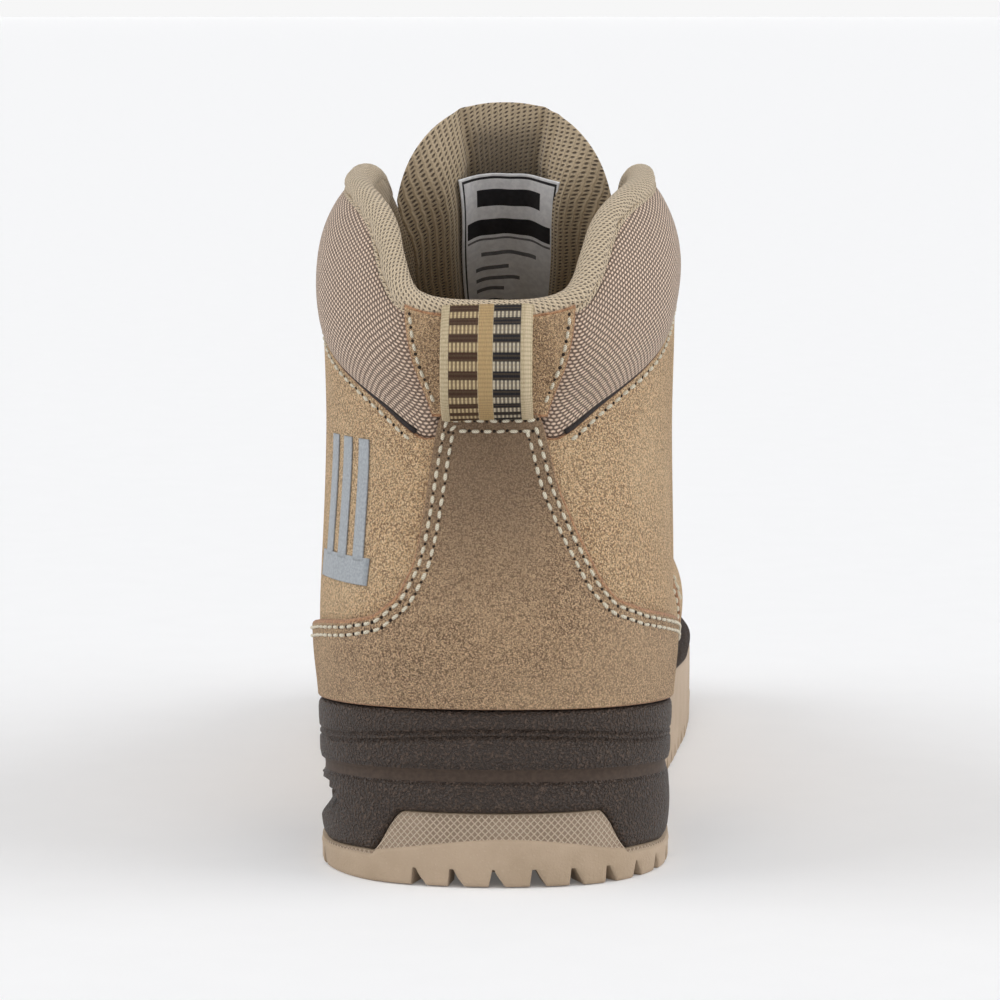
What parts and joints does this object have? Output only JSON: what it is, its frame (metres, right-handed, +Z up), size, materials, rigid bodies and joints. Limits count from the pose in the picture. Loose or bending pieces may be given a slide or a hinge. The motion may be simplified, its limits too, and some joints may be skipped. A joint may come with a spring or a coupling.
{
  "type": "steel toe work boot",
  "caption": "Left lace-up safety boot in brown suede and mesh, with a steel toe cap, padded collar and tongue, and a lugged rubber sole.",
  "frame": {"origin": "on the ground under the middle of the boot", "axes": "+Z up, +Y towards the toe, +X towards the inner (medial) side of a left foot"},
  "size_m": [0.106, 0.3044, 0.187],
  "materials": {
    "outsole_rubber": "moulded tan rubber, lugged and finely textured",
    "midsole_foam": "dark brown moulded foam rubber with a pebbled skin",
    "board": "pressed fibre board",
    "steel": "pressed steel, brushed",
    "dark_steel": "darkened steel",
    "hard_plastic": "matt moulded plastic",
    "soft_foam": "foam faced with fabric",
    "lining_knit": "padded beige mesh knit",
    "spacer_mesh": "padded taupe mesh with raised bumps",
    "brown_suede": "brushed suede",
    "tan_suede": "brushed suede with raw cut edges",
    "satin_label": "smooth pale grey",
    "webbing": "woven ribbed webbing",
    "lace_cord": "round braided cord"
  },
  "bodies": {
    "boot": {"outsole": "outsole_rubber", "midsole": "midsole_foam", "insole_board": "board", "steel_shank": "steel", "lining": "lining_knit", "vamp_mesh": "spacer_mesh", "quarter_lateral": "tan_suede", "quarter_medial": "tan_suede", "toe_overlay": "tan_suede", "steel_toe_cap": "steel", "toe_cap_edge_strip": "soft_foam", "heel_stiffener": "hard_plastic", "heel_counter": "brown_suede", "backstay": "tan_suede", "collar_pad_lateral": "spacer_mesh", "collar_pad_medial": "spacer_mesh", "collar_roll": "lining_knit", "eyestay_lateral": "brown_suede", "eyestay_medial": "brown_suede", "toe_bumper": "outsole_rubber", "side_mark": "satin_label", "pull_loop": "webbing", "lace_loop_lateral_1": "webbing", "lace_loop_lateral_2": "webbing", "lace_loop_lateral_3": "webbing", "lace_loop_lateral_4": "webbing", "lace_hook_lateral_1": "dark_steel", "lace_hook_lateral_2": "dark_steel", "lace_loop_medial_1": "webbing", "lace_loop_medial_2": "webbing", "lace_loop_medial_3": "webbing", "lace_loop_medial_4": "webbing", "lace_hook_medial_1": "dark_steel", "lace_hook_medial_2": "dark_steel", "lace": "lace_cord", "aglet_lateral": "hard_plastic", "aglet_medial": "hard_plastic"},
    "tongue": {"tongue": "lining_knit", "tongue_label": "satin_label", "tongue_patch": "tan_suede", "tongue_keeper": "webbing"},
    "footbed": {"footbed": "soft_foam"}
  },
  "joints": [
    {"name": "tongue_flex", "type": "hinge", "parent": "boot", "child": "tongue", "pos_m": [-0.00048, 0.05266, 0.083], "axis": [1, 0, 0], "range_deg": [0, 12]},
    {"name": "footbed_lift", "type": "hinge", "parent": "boot", "child": "footbed", "pos_m": [0.00552, 0.13766, 0.0262], "axis": [-1, 0, 0], "range_deg": [0, 5]}
  ]
}
